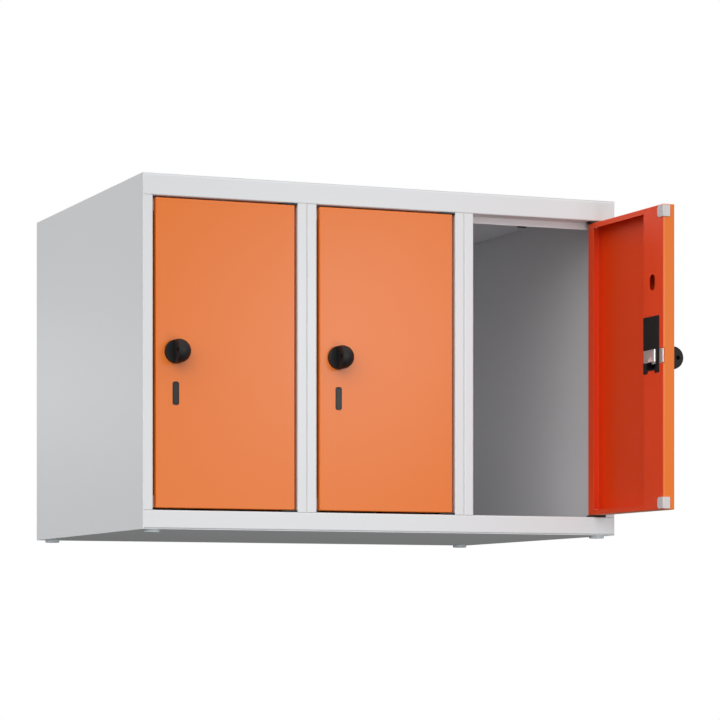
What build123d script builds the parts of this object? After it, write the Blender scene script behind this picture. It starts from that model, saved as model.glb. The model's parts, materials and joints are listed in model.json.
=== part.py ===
"""Three-door sheet-steel locker unit that stands on top of a taller locker.

Frame: millimetres, +X right, +Y to the rear, +Z up. The origin is the centre of the
four feet, on the surface that they stand on. The right-hand door stands open at rest.
"""
from build123d import *
from math import cos, radians, sin, sqrt
import os

# Carcass: the overall size follows from the compartments
COMPARTMENTS = ("left", "middle", "right")
PITCH = 250.0            # width of one compartment, middle of stile to middle of stile
BODY_HEIGHT = 500.0      # without the feet
BODY_DEPTH = 500.0
SHEET = 1.0              # carcass sheet
BEND = 2.0               # outside radius of a carcass fold
STILE_FACE = 15.0        # front face of one folded stile half
TOP_RAIL = 31.0          # front height of the top rail
BOTTOM_RAIL = 27.0       # front height of the bottom rail
REVEAL = 24.0            # depth of the frame round a door
STOP_LIP = 10.0          # drop of the door stop under the top rail
STILE_RETURN = 8.0       # fold behind the reveal of a stile
REAR_FLANGE = 15.0       # fold of a side panel behind the rear panel
WALL_FLANGE = 12.0       # weld flange of a partition on the rear panel
PANEL_UPSTAND = 14.0     # folded edge of the roof and the floor panel

# Feet
FOOT_HEIGHT = 4.0
FOOT_RADIUS = 11.0
FOOT_CHAMFER = 0.4
FOOT_INSET = 20.0        # foot centre from the two nearest outer faces
PEG_RADIUS = 3.0
PEG_LENGTH = 5.0         # of which one sheet thickness is in the floor panel
PEG_CLEARANCE = 0.15

# Doors
DOOR_SIDE_GAP = 4.0
DOOR_END_GAP = 3.0
DOOR_DEPTH = 19.0
DOOR_SHEET = 1.0
DOOR_BEND = 2.0
DOOR_LIP = 8.0           # fold behind the top and bottom edges
HINGE_LIP = 17.0         # fold behind the hinged edge
OPEN_ANGLE = 91.0        # right-hand door at rest

# Pivots
PIN_RADIUS = 3.0
PIN_FROM_EDGE = 7.5      # pin axis from the hinged edge of the door
PIN_FROM_FRONT = 9.0     # pin axis from the front face of the door
PIN_CLEARANCE = 0.08
PIN_IN_DOOR = 9.0
PIN_COLLAR = 1.5         # pin head behind the rail
PIN_COLLAR_RADIUS = 5.0
BUSH_LENGTH = 26.0
BUSH_WIDTH = 19.0
BUSH_FRONT_SETBACK = 0.5
BUSH_CLEARANCE = 0.3     # between bush and door
STOP_LIP_CLEARANCE = 0.5 # beside the door stop of the top rail
BUSH_LAND = 0.5          # half of the flat between the rounds of a bush

# Lock side of a door, measured from the free edge and from the knob axis
KNOB_FROM_EDGE = 30.0
KNOB_HEIGHT = 250.0      # above the underside of the body
STIFFENER_WIDTH = 54.5
STIFFENER_FOOT = 12.0
GRIP_SLOT_WIDTH = 15.0   # oval hole in the stiffener
GRIP_SLOT_HEIGHT = 23.0
GRIP_SLOT_ABOVE_KNOB = 107.0
NUMBER_WIDTH = 9.5
NUMBER_HEIGHT = 33.0
NUMBER_BELOW_KNOB = 58.5
NUMBER_CORNER = 3.2
NUMBER_PROUD = 0.8
NUMBER_BEVEL = 0.5
NUMBER_FLANGE = 1.2      # the insert is wider behind the sheet than in it
NUMBER_FLANGE_THICKNESS = 1.2
NUMBER_FIT = 0.1

# Lock body, in the stiffener
LOCK_EDGE = 10.5         # from the free edge
LOCK_ABOVE = 58.5
LOCK_BELOW = 23.5
LOCK_FIT = 0.15
LOCK_PROUD = 0.8
LOCK_NOTCH_WIDTH = 20.0
LOCK_NOTCH_HEIGHT = 4.0
BOLT_BRIDGE = 9.0        # strip of the lock body that holds the bolt down

# Bolt, spindle and knob
BOLT_HEIGHT = 21.0
BOLT_THICKNESS = 3.6
NOSE_THICKNESS = 1.8
NOSE_SETBACK = 0.5       # nose from the free edge when drawn back
NOSE_CLEARANCE = 0.35
STRIKE_CLEARANCE = 2.0   # round the nose in the slot of the stile
SLIDE_CLEARANCE = 0.25
NOSE_CHAMFER = 2.0
THUMB_PLATE_RISE = 3.4   # of the thumb plate, from the back of the door
THUMB_PLATE_ROUND = 1.6
SLOT_FLOOR = 0.6         # web of the bolt under the slot of the crank pin
PIN_SHORT = 1.2          # crank pin ends this far before the back of the bolt
CRANK_RADIUS = 7.0
CRANK_PIN_RADIUS = 2.0
CRANK_PIN_CLEARANCE = 0.5
CRANK_DISC_RADIUS = 10.0
CRANK_DISC_THICKNESS = 2.0
CRANK_SWING = 90.0
SPINDLE_RADIUS = 4.0
SPINDLE_CLEARANCE = 0.1
SPINDLE_IN_KNOB = 1.6
ROSETTE_RADIUS = 17.0
ROSETTE_THICKNESS = 2.6
ROSETTE_BEVEL = 0.8
KNOB_RADIUS = 16.8
KNOB_PROTRUSION = 30.5   # from the door's face, rosette included
KNOB_GAP = 0.2
KNOB_BASE = 2.4
KNOB_EDGE = 0.8
GRIP_FACE = -5.0         # flat face of the grip, from the knob axis
GRIP_WALL = 4.0          # wall with the padlock eye
GRIP_SHELL = 2.5         # round the pocket behind that wall
POCKET_HEIGHT = 16.0
EYE_RADIUS = 3.3         # padlock eye
EYE_FROM_DOOR = 21.0

# Corner buffers on the free edge
BUFFER_HEIGHT = 16.5
BUFFER_ON_BACK = 14.0
BUFFER_ON_EDGE = 10.5
BUFFER_THICKNESS = 1.4
BUFFER_CORNER = 3.0
BUFFER_ROUND = 1.2
BUFFER_FROM_END = 1.5

# Coat hooks under the roof
HOOK_SETBACK = 56.0      # behind the front face
HOOK_DROP = 37.0
HOOK_SPAN = 36.0
HOOK_BAR = 5.0           # thickness of stem and arms
HOOK_WIDTH = 9.0
HOOK_PLATE_LENGTH = 26.0
HOOK_PLATE_WIDTH = 16.0
HOOK_PLATE_THICKNESS = 3.0
HOOK_TIP_RISE = 9.0

# Worked out from the above
WIDTH = PITCH * len(COMPARTMENTS)
LEFT = -WIDTH / 2
RIGHT = WIDTH / 2
FRONT = -BODY_DEPTH / 2
REAR = BODY_DEPTH / 2
BASE = FOOT_HEIGHT
TOP = BASE + BODY_HEIGHT
OPENING_LEFT = [LEFT + PITCH * i + STILE_FACE for i in range(len(COMPARTMENTS))]
OPENING_WIDTH = PITCH - 2 * STILE_FACE
SILL = BASE + BOTTOM_RAIL
HEAD = TOP - TOP_RAIL
DOOR_WIDTH = OPENING_WIDTH - 2 * DOOR_SIDE_GAP
DOOR_BOTTOM = SILL + DOOR_END_GAP
DOOR_HEIGHT = HEAD - SILL - 2 * DOOR_END_GAP
KNOB_Z = BASE + KNOB_HEIGHT - DOOR_BOTTOM          # in the door's own frame
BOLT_TRAVEL = 2 * CRANK_RADIUS * sin(radians(CRANK_SWING / 2))
PANEL_REAR = REAR - SHEET                          # rear face of the rear panel


def block(low, high):
    """A box between two corners."""
    size = [b - a for a, b in zip(low, high)]
    return Pos(*low) * Box(*size, align=(Align.MIN, Align.MIN, Align.MIN))


def rod(radius, start, length, direction=(0, 0, 1)):
    """A round bar from a start point along a direction."""
    plane = Plane(origin=start, z_dir=direction)
    return extrude(plane * Circle(radius), length)


def folded(points, thickness, bend):
    """Section of a folded sheet, from the line of one face.

    The sheet lies on the left of the line, and bend is the outer radius of its folds.
    """
    line = [Vector(*point) for point in points]
    runs = [(b - a).normalized() for a, b in zip(line, line[1:])]
    normals = [Vector(-run.Y, run.X) for run in runs]
    before, after = [normals[0]] + normals, normals + [normals[-1]]
    shifts = [(a + b) * (thickness / (1 + a.dot(b))) for a, b in zip(before, after)]
    other = [point + shift for point, shift in zip(line, shifts)]
    section = make_face(Polyline(*line, *other[::-1], close=True))
    for i in range(1, len(line) - 1):
        outer, inner = (line[i], other[i]) if runs[i - 1].cross(runs[i]).Z > 0 else (other[i], line[i])
        for corner, radius in ((outer, bend), (inner, bend - thickness)):
            section = fillet(section.vertices().sort_by_distance(corner)[0], radius)
    return section


def turned(piece, angle, x, y):
    """A piece turned about an upright axis."""
    return piece.rotate(Axis((x, y, 0), (0, 0, 1)), angle)


def mirrored_x(piece, x=0.0):
    return mirror(piece, Plane(origin=(x, 0, 0), z_dir=(1, 0, 0)))


# Carcass

def stile_section(x, rear_end, rear_fold):
    """Section of a wall with a folded stile on its right, seen from above.

    x is the outer face of the wall and rear_end the rear end of the wall.
    """
    points = [
        (x + rear_fold, rear_end),
        (x, rear_end),
        (x, FRONT),
        (x + STILE_FACE, FRONT),
        (x + STILE_FACE, FRONT + REVEAL),
        (x + STILE_FACE - STILE_RETURN, FRONT + REVEAL),
    ]
    return folded(points, SHEET, BEND)


def strike_slot(opening_left):
    """Cutter for the slot that the bolt enters, in the lock-side stile."""
    axis_z = BASE + KNOB_HEIGHT
    half = BOLT_HEIGHT / 2 + STRIKE_CLEARANCE
    back = FRONT + DOOR_DEPTH
    return block(
        (opening_left - SHEET - 1, back - NOSE_THICKNESS - STRIKE_CLEARANCE, axis_z - half),
        (opening_left + 1, back + STRIKE_CLEARANCE, axis_z + half),
    )


def wall_leaf(x, rear_end, rear_fold, z_low, z_high):
    """A wall with its stile; the stile stands between the rails."""
    leaf = extrude(Pos(0, 0, z_low) * stile_section(x, rear_end, rear_fold), z_high - z_low)
    behind = FRONT + REVEAL
    reach = x + STILE_FACE + 1
    leaf -= block((x + SHEET, FRONT - 1, HEAD), (reach, behind + 1, z_high + 1))
    leaf -= block((x + SHEET, FRONT - 1, z_low - 1), (reach, behind + 1, SILL))
    return leaf


def side_panel_left():
    panel = wall_leaf(LEFT, REAR, REAR_FLANGE, BASE, TOP)
    return panel - strike_slot(OPENING_LEFT[0])


def side_panel_right():
    return mirrored_x(wall_leaf(LEFT, REAR, REAR_FLANGE, BASE, TOP))


def partition(index):
    """Two folded leaves, back to back, between two compartments."""
    middle = LEFT + PITCH * (index + 1)
    rear_end = PANEL_REAR - SHEET
    low, high = BASE + SHEET, TOP - SHEET
    leaf = wall_leaf(middle, rear_end, WALL_FLANGE, low, high)
    # The wall itself ends behind the rails too
    for z_from, z_to in ((HEAD, high + 1), (low - 1, SILL)):
        rail_back = FRONT + REVEAL + SHEET
        leaf -= block((middle - 1, FRONT - 1, z_from), (middle + STILE_FACE, rail_back, z_to))
    for z_from, z_to in ((high - PANEL_UPSTAND, high + 1), (low - 1, low + PANEL_UPSTAND)):
        leaf -= block((middle - 1, rear_end - SHEET - BEND, z_from), (middle + STILE_FACE, REAR, z_to))
    right_leaf = leaf - strike_slot(OPENING_LEFT[index + 1])
    return [mirrored_x(leaf, middle), right_leaf]


def roof_panel():
    """Flat roof with its rear edge folded down inside the rear panel."""
    rear_face = PANEL_REAR - SHEET
    points = [(FRONT + SHEET, TOP), (rear_face, TOP), (rear_face, TOP - PANEL_UPSTAND)]
    section = Plane.YZ * folded(points[::-1], SHEET, BEND)
    return extrude(Pos(LEFT + SHEET, 0, 0) * section, WIDTH - 2 * SHEET)


def floor_panel():
    """Flat floor with its rear edge folded up, and a hole for each foot."""
    rear_face = PANEL_REAR - SHEET
    points = [(FRONT + SHEET, BASE), (rear_face, BASE), (rear_face, BASE + PANEL_UPSTAND)]
    section = Plane.YZ * folded(points, SHEET, BEND)
    panel = extrude(Pos(LEFT + SHEET, 0, 0) * section, WIDTH - 2 * SHEET)
    for x, y in foot_places():
        panel -= rod(PEG_RADIUS + PEG_CLEARANCE, (x, y, BASE - 1), SHEET + 2)
    return panel


def rear_panel():
    side = WIDTH / 2 - BEND
    return block((-side, PANEL_REAR - SHEET, BASE), (side, PANEL_REAR, TOP))


def top_rail():
    """Front rail with a reveal and a door stop in front of each compartment."""
    top = TOP - SHEET
    back = FRONT + REVEAL
    points = [
        (back - STILE_RETURN, top),
        (FRONT, top),
        (FRONT, HEAD),
        (back, HEAD),
        (back, HEAD - STOP_LIP),
    ]
    section = Plane.YZ * folded(points, SHEET, BEND)
    rail = extrude(Pos(LEFT + SHEET, 0, 0) * section, WIDTH - 2 * SHEET)
    low = HEAD - STOP_LIP - 1
    fit = STOP_LIP_CLEARANCE
    edges = [LEFT] + [x for left in OPENING_LEFT for x in (left + fit, left + OPENING_WIDTH - fit)] + [RIGHT]
    for start, end in zip(edges[::2], edges[1::2]):
        rail -= block((start, FRONT, low), (end, back + 1, HEAD))
    for x, y in pin_places():
        rail -= rod(PIN_RADIUS + PIN_CLEARANCE, (x, y, HEAD - 1), SHEET + 2)
    return rail


def bottom_rail():
    """Front rail with the sill, folded down again behind it."""
    back = FRONT + REVEAL
    low = BASE + SHEET
    points = [
        (back, low),
        (back, SILL),
        (FRONT, SILL),
        (FRONT, low),
        (back - STILE_RETURN, low),
    ]
    section = Plane.YZ * folded(points, SHEET, BEND)
    rail = extrude(Pos(LEFT + SHEET, 0, 0) * section, WIDTH - 2 * SHEET)
    for x, y in pin_places():
        rail -= rod(PIN_RADIUS + PIN_CLEARANCE, (x, y, SILL - SHEET - 1), SHEET + 2)
    for x, y in foot_places()[:2]:
        rail -= rod(PEG_RADIUS + PEG_CLEARANCE, (x, y, BASE), PEG_LENGTH + 1)
    return rail


def foot_places():
    x = WIDTH / 2 - FOOT_INSET
    y = BODY_DEPTH / 2 - FOOT_INSET
    return [(-x, -y), (x, -y), (-x, y), (x, y)]


def feet():
    """Plastic glides with a peg that is pushed into the floor panel."""
    made = []
    for x, y in foot_places():
        pad = rod(FOOT_RADIUS, (x, y, 0), FOOT_HEIGHT)
        pad = chamfer(pad.edges().group_by(Axis.Z)[0], FOOT_CHAMFER)
        made.append(pad + rod(PEG_RADIUS, (x, y, FOOT_HEIGHT), PEG_LENGTH))
    return made


def coat_hooks():
    """A moulded anchor-shaped hook under the roof of each compartment."""
    ceiling = TOP - SHEET
    y = FRONT + HOOK_SETBACK
    plate_low = ceiling - HOOK_PLATE_THICKNESS
    reach = (HOOK_SPAN - HOOK_BAR) / 2
    rise = HOOK_TIP_RISE + reach
    arms_z = ceiling - HOOK_DROP + HOOK_BAR / 2 + reach
    # Arms in side view: half a ring with round tips on short upright ends
    ring = Circle(reach + HOOK_BAR / 2) - Circle(reach - HOOK_BAR / 2)
    side = ring & Pos(0, -reach) * Rectangle(4 * reach, 2 * reach)
    for end in (-reach, reach):
        side += Pos(end, (rise - reach) / 2) * Rectangle(HOOK_BAR, rise - reach)
        side += Pos(end, rise - reach) * Circle(HOOK_BAR / 2)
    stem = ceiling - HOOK_PLATE_THICKNESS - arms_z + reach
    side += Pos(0, -reach + stem / 2) * Rectangle(HOOK_BAR, stem)
    made = []
    for left in OPENING_LEFT:
        x = left + OPENING_WIDTH / 2
        plane = Plane(origin=(x - HOOK_WIDTH / 2, y, arms_z), x_dir=(0, 1, 0), z_dir=(1, 0, 0))
        plate = Pos(x, y, plate_low) * Box(
            HOOK_PLATE_WIDTH,
            HOOK_PLATE_LENGTH,
            HOOK_PLATE_THICKNESS,
            align=(Align.CENTER, Align.CENTER, Align.MIN),
        )
        plate = fillet(plate.edges().filter_by(Axis.Z), HOOK_PLATE_THICKNESS)
        made.append(plate + extrude(plane * side, HOOK_WIDTH))
    return made


# Pivots

def free_edge(index):
    return OPENING_LEFT[index] + DOOR_SIDE_GAP


def pin_places():
    offset_x = DOOR_WIDTH - PIN_FROM_EDGE
    return [(free_edge(i) + offset_x, FRONT + PIN_FROM_FRONT) for i in range(len(COMPARTMENTS))]


def bush_blank(right, z, thickness):
    """Plan of a bush: square in the corner of the frame, round at its free end."""
    front = FRONT + BUSH_FRONT_SETBACK
    blank = block((right - BUSH_LENGTH, front, z), (right, front + BUSH_WIDTH, z + thickness))
    round_end = BUSH_WIDTH / 2 - BUSH_LAND
    return fillet(blank.edges().filter_by(Axis.Z).sort_by(Axis.X)[:2], round_end)


def pivot_bushes(z):
    thickness = DOOR_END_GAP - BUSH_CLEARANCE
    made = []
    for left, (x, y) in zip(OPENING_LEFT, pin_places()):
        blank = bush_blank(left + OPENING_WIDTH, z, thickness)
        made.append(blank - rod(PIN_RADIUS + PIN_CLEARANCE, (x, y, z - 1), thickness + 2))
    return made


def pivot_pins(rail_z, direction):
    """Headed pins that come out of a rail and go into the end of a door."""
    made = []
    for x, y in pin_places():
        head = rod(PIN_COLLAR_RADIUS, (x, y, rail_z), PIN_COLLAR, (0, 0, -direction))
        length = SHEET + DOOR_END_GAP + PIN_IN_DOOR
        shank = rod(PIN_RADIUS, (x, y, rail_z), length, (0, 0, direction))
        made.append(head + shank)
    return made


# Door pieces, in the frame of a closed door: X from the free edge, Y from the front
# face, Z from the bottom edge

def door_skin():
    """Folded tray: front sheet, four edges and a lip behind three of them."""
    inner_depth = DOOR_DEPTH - DOOR_SHEET
    tray = block((0, 0, 0), (DOOR_WIDTH, DOOR_DEPTH, DOOR_HEIGHT))
    tray = fillet(tray.edges().filter_by(Axis.Z), DOOR_BEND)
    tray = fillet(tray.edges().group_by(Axis.Y)[0].filter_by(Axis.X), DOOR_BEND * 0.6)
    inner = block(
        (DOOR_SHEET, DOOR_SHEET, DOOR_SHEET),
        (DOOR_WIDTH - DOOR_SHEET, inner_depth, DOOR_HEIGHT - DOOR_SHEET),
    )
    tray -= fillet(inner.edges().filter_by(Axis.Z), DOOR_BEND - DOOR_SHEET)
    tray -= block(
        (-1, inner_depth, DOOR_LIP),
        (DOOR_WIDTH - HINGE_LIP, DOOR_DEPTH + 1, DOOR_HEIGHT - DOOR_LIP),
    ) - block((-1, 0, 0), (DOOR_SHEET, inner_depth + DOOR_SHEET, DOOR_HEIGHT))
    pin_x, pin_y = DOOR_WIDTH - PIN_FROM_EDGE, PIN_FROM_FRONT
    tray -= rod(PIN_RADIUS + PIN_CLEARANCE, (pin_x, pin_y, -1), DOOR_HEIGHT + 2)
    tray -= rod(SPINDLE_RADIUS + SPINDLE_CLEARANCE, (KNOB_FROM_EDGE, -1, KNOB_Z), 3, (0, 1, 0))
    tray -= number_blank(-1, DOOR_SHEET + 1, NUMBER_FIT)
    tray -= nose_channel()
    return tray


def nose_channel():
    """Cutter for the way of the bolt's nose over the free edge."""
    half = BOLT_HEIGHT / 2 + NOSE_CLEARANCE
    front = DOOR_DEPTH - NOSE_THICKNESS - NOSE_CLEARANCE
    return block((-1, front, KNOB_Z - half), (LOCK_EDGE + 1, DOOR_DEPTH + 1, KNOB_Z + half))


def number_blank(y_from, y_to, grow=0.0):
    """Upright tablet with rounded corners below the knob."""
    z = KNOB_Z - NUMBER_BELOW_KNOB
    plane = Plane(origin=(KNOB_FROM_EDGE, y_from, z), x_dir=(1, 0, 0), z_dir=(0, 1, 0))
    width, height = NUMBER_WIDTH + 2 * grow, NUMBER_HEIGHT + 2 * grow
    return extrude(plane * RectangleRounded(width, height, NUMBER_CORNER + grow), y_to - y_from)


def number_insert():
    """Blank plastic tablet, clipped in from behind."""
    tablet = number_blank(-NUMBER_PROUD, DOOR_SHEET)
    face = tablet.faces().sort_by(Axis.Y)[0]
    tablet = chamfer(face.edges(), NUMBER_BEVEL)
    return tablet + number_blank(DOOR_SHEET, DOOR_SHEET + NUMBER_FLANGE_THICKNESS, NUMBER_FLANGE)


def lock_cutout():
    """Cutter for the opening of the lock in the stiffener's back."""
    bottom = KNOB_Z - LOCK_BELOW
    opening = block(
        (LOCK_EDGE, DOOR_DEPTH - 3, bottom),
        (STIFFENER_WIDTH + 1, DOOR_DEPTH + 1, KNOB_Z + LOCK_ABOVE),
    )
    return opening - lock_tab(0)


def lock_tab(grow):
    """The tab of the stiffener that stands up into the foot of the lock."""
    middle = (LOCK_EDGE + STIFFENER_WIDTH) / 2
    half = LOCK_NOTCH_WIDTH / 2 + grow
    bottom = KNOB_Z - LOCK_BELOW
    return block(
        (middle - half, -1, bottom - 1),
        (middle + half, DOOR_DEPTH + 2, bottom + LOCK_NOTCH_HEIGHT + grow),
    )


def stiffener():
    """Box section along the free edge, between the lips of the skin."""
    back = DOOR_DEPTH
    points = [
        (DOOR_SHEET, back),
        (STIFFENER_WIDTH, back),
        (STIFFENER_WIDTH, DOOR_SHEET),
        (STIFFENER_WIDTH - STIFFENER_FOOT, DOOR_SHEET),
    ]
    section = folded(points[::-1], DOOR_SHEET, DOOR_BEND * 0.75)
    low = DOOR_LIP
    rail = extrude(Pos(0, 0, low) * section, DOOR_HEIGHT - 2 * low)
    rail -= lock_cutout()
    rail -= block(
        (STIFFENER_WIDTH - STIFFENER_FOOT - 1, -1, KNOB_Z - LOCK_BELOW),
        (STIFFENER_WIDTH - DOOR_SHEET, DOOR_SHEET * 3, KNOB_Z + LOCK_ABOVE),
    )
    rail -= nose_channel()
    slot = Plane(
        origin=(KNOB_FROM_EDGE, back - 3, KNOB_Z + GRIP_SLOT_ABOVE_KNOB),
        x_dir=(0, 0, 1),
        z_dir=(0, 1, 0),
    ) * SlotOverall(GRIP_SLOT_HEIGHT, GRIP_SLOT_WIDTH)
    return rail - extrude(slot, 5)


def lock_body():
    """Moulded case with room for the crank and a channel for the bolt."""
    right = STIFFENER_WIDTH - DOOR_SHEET - LOCK_FIT
    left = LOCK_EDGE + LOCK_FIT
    low = KNOB_Z - LOCK_BELOW + LOCK_FIT
    high = KNOB_Z + LOCK_ABOVE - LOCK_FIT
    back = DOOR_DEPTH + LOCK_PROUD
    case = block((left, DOOR_SHEET, low), (right, back, high))
    case = fillet(case.faces().sort_by(Axis.Y)[-1].edges(), LOCK_PROUD * 0.6)
    case -= lock_tab(LOCK_FIT)
    half = BOLT_HEIGHT / 2 + SLIDE_CLEARANCE
    bolt_front = DOOR_DEPTH - BOLT_THICKNESS
    # Bolt channel, open to the back except under the bridge at its outer end
    bolt_left = LOCK_EDGE + BOLT_BRIDGE
    case -= block(
        (bolt_left, bolt_front - SLIDE_CLEARANCE, KNOB_Z - half),
        (right + 1, back + 1, KNOB_Z + half),
    )
    nose_front = DOOR_DEPTH - NOSE_THICKNESS - SLIDE_CLEARANCE
    case -= block(
        (left - 1, nose_front, KNOB_Z - half),
        (bolt_left + 1, DOOR_DEPTH + SLIDE_CLEARANCE, KNOB_Z + half),
    )
    shaft_from = (KNOB_FROM_EDGE, DOOR_SHEET - 1, KNOB_Z)
    case -= rod(SPINDLE_RADIUS + SPINDLE_CLEARANCE, shaft_from, DOOR_DEPTH, (0, 1, 0))
    crank_front = bolt_front - 2 * SLIDE_CLEARANCE - CRANK_DISC_THICKNESS
    room = (KNOB_FROM_EDGE, crank_front - SLIDE_CLEARANCE, KNOB_Z)
    case -= rod(CRANK_DISC_RADIUS + SLIDE_CLEARANCE, room, DOOR_DEPTH, (0, 1, 0)) & block(
        (0, 0, 0), (DOOR_WIDTH, bolt_front, DOOR_HEIGHT)
    )
    return case


def crank_pin_place():
    """Crank pin at rest, in X and Z: turned half the swing towards the hinge."""
    half = radians(CRANK_SWING / 2)
    return KNOB_FROM_EDGE + CRANK_RADIUS * sin(half), KNOB_Z + CRANK_RADIUS * cos(half)


def bolt():
    """Sliding bolt: thin nose, thicker body with a slot for the crank pin, thumb plate.

    The thumb plate stands out of the channel and passes over the bridge of the case.
    """
    half = BOLT_HEIGHT / 2
    low, high = KNOB_Z - half, KNOB_Z + half
    front = DOOR_DEPTH - BOLT_THICKNESS
    channel_left = LOCK_EDGE + BOLT_BRIDGE
    body_left = channel_left + BOLT_TRAVEL + SLIDE_CLEARANCE
    body_right = STIFFENER_WIDTH - DOOR_SHEET - SLIDE_CLEARANCE
    nose_front = DOOR_DEPTH - NOSE_THICKNESS
    nose = block((NOSE_SETBACK, nose_front, low), (body_left, DOOR_DEPTH, high))
    nose = chamfer(nose.edges().filter_by(Axis.Y).sort_by(Axis.X)[:2], NOSE_CHAMFER)
    plate_front = DOOR_DEPTH + LOCK_PROUD + SLIDE_CLEARANCE
    plate = block(
        (channel_left + SLIDE_CLEARANCE, plate_front, low),
        (body_right, DOOR_DEPTH + THUMB_PLATE_RISE, high),
    )
    plate = fillet(plate.faces().sort_by(Axis.Y)[-1].edges(), THUMB_PLATE_ROUND)
    body = block((body_left, front, low), (body_right, plate_front, high))
    pin_x, _ = crank_pin_place()
    wide = CRANK_PIN_RADIUS + CRANK_PIN_CLEARANCE
    slot_low = CRANK_RADIUS * cos(radians(CRANK_SWING / 2)) - wide
    slot_high = CRANK_RADIUS + wide
    slot_plane = Plane(
        origin=(pin_x, front - 1, KNOB_Z + (slot_low + slot_high) / 2),
        x_dir=(0, 0, 1),
        z_dir=(0, 1, 0),
    )
    slot = slot_plane * SlotOverall(slot_high - slot_low, 2 * wide)
    return body + nose + plate - extrude(slot, BOLT_THICKNESS - SLOT_FLOOR + 1)


def spindle():
    """Shaft from the knob through the door, with the crank disc and its pin."""
    knob_bottom = -ROSETTE_THICKNESS - KNOB_GAP
    front = knob_bottom - SPINDLE_IN_KNOB
    disc_back = DOOR_DEPTH - BOLT_THICKNESS - 2 * SLIDE_CLEARANCE
    disc_front = disc_back - CRANK_DISC_THICKNESS
    piece = rod(SPINDLE_RADIUS, (KNOB_FROM_EDGE, front, KNOB_Z), disc_front - front, (0, 1, 0))
    piece += rod(CRANK_DISC_RADIUS, (KNOB_FROM_EDGE, disc_front, KNOB_Z), CRANK_DISC_THICKNESS, (0, 1, 0))
    pin_x, pin_z = crank_pin_place()
    pin_length = BOLT_THICKNESS - PIN_SHORT + 2 * SLIDE_CLEARANCE
    return piece + rod(CRANK_PIN_RADIUS, (pin_x, disc_back, pin_z), pin_length, (0, 1, 0))


def rosette():
    """Fixed collar between knob and door."""
    ring = rod(ROSETTE_RADIUS, (KNOB_FROM_EDGE, -ROSETTE_THICKNESS, KNOB_Z), ROSETTE_THICKNESS, (0, 1, 0))
    ring = chamfer(ring.edges().group_by(Axis.Y)[0], ROSETTE_BEVEL)
    hole = (KNOB_FROM_EDGE, -ROSETTE_THICKNESS - 1, KNOB_Z)
    return ring - rod(SPINDLE_RADIUS + SPINDLE_CLEARANCE, hole, ROSETTE_THICKNESS + 2, (0, 1, 0))


def knob():
    """Disc with half a domed grip: a wall with a padlock eye and a pocket behind it."""
    back = -ROSETTE_THICKNESS - KNOB_GAP
    disc = rod(KNOB_RADIUS, (KNOB_FROM_EDGE, back - KNOB_BASE, KNOB_Z), KNOB_BASE, (0, 1, 0))
    disc = chamfer(disc.edges().group_by(Axis.Y)[0], KNOB_EDGE)
    # Upright sides up to the dome, which is as high as it is wide
    shoulder = KNOB_PROTRUSION - KNOB_RADIUS
    foot = rod(KNOB_RADIUS, (KNOB_FROM_EDGE, -shoulder, KNOB_Z), shoulder + back, (0, 1, 0))
    on_shoulder = (Align.CENTER, Align.CENTER, Align.MIN)
    dome = Sphere(KNOB_RADIUS, 0, 90, align=on_shoulder)
    dome = Pos(KNOB_FROM_EDGE, -shoulder, KNOB_Z) * Rot(90, 0, 0) * dome
    wall_x = KNOB_FROM_EDGE + GRIP_FACE
    far = KNOB_FROM_EDGE + KNOB_RADIUS + 1
    near, beyond = KNOB_Z - KNOB_RADIUS - 1, KNOB_Z + KNOB_RADIUS + 1
    half_space = block((wall_x, -KNOB_PROTRUSION - 1, near), (far, back, beyond))
    piece = disc + ((foot + dome) & half_space)
    piece -= block(
        (wall_x + GRIP_WALL, -KNOB_PROTRUSION + GRIP_SHELL, KNOB_Z - POCKET_HEIGHT / 2),
        (far, back - KNOB_BASE, KNOB_Z + POCKET_HEIGHT / 2),
    )
    eye = (wall_x - 1, -EYE_FROM_DOOR, KNOB_Z)
    piece -= rod(EYE_RADIUS, eye, GRIP_WALL + 2, (1, 0, 0))
    socket = (KNOB_FROM_EDGE, back - SPINDLE_IN_KNOB, KNOB_Z)
    return piece - rod(SPINDLE_RADIUS, socket, SPINDLE_IN_KNOB + 1, (0, 1, 0))


def buffers():
    """Corner caps that wrap from the back of the door over its free edge."""
    made = []
    t = BUFFER_THICKNESS
    for low in (BUFFER_FROM_END, DOOR_HEIGHT - BUFFER_FROM_END - BUFFER_HEIGHT):
        cap = block(
            (-t, DOOR_DEPTH - BUFFER_ON_EDGE, low),
            (BUFFER_ON_BACK, DOOR_DEPTH + t, low + BUFFER_HEIGHT),
        )
        cap = chamfer(cap.edges().filter_by(Axis.Y).sort_by(Axis.X)[-2:], BUFFER_CORNER)
        cap = fillet(cap.edges().filter_by(Axis.Z).sort_by(lambda e: e.center().X - e.center().Y)[0], BUFFER_ROUND)
        core = block((0, 0, low - 1), (BUFFER_ON_BACK + 1, DOOR_DEPTH, low + BUFFER_HEIGHT + 1))
        made.append(cap - core)
    return made


def as_list(made):
    return made if isinstance(made, list) else [made]


def write(name, made):
    pieces = as_list(made)
    for piece in pieces:
        piece.label = name
    result = pieces[0] if len(pieces) == 1 else Compound(label=name, children=pieces)
    export_step(result, f"parts/{name}.step")


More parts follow.
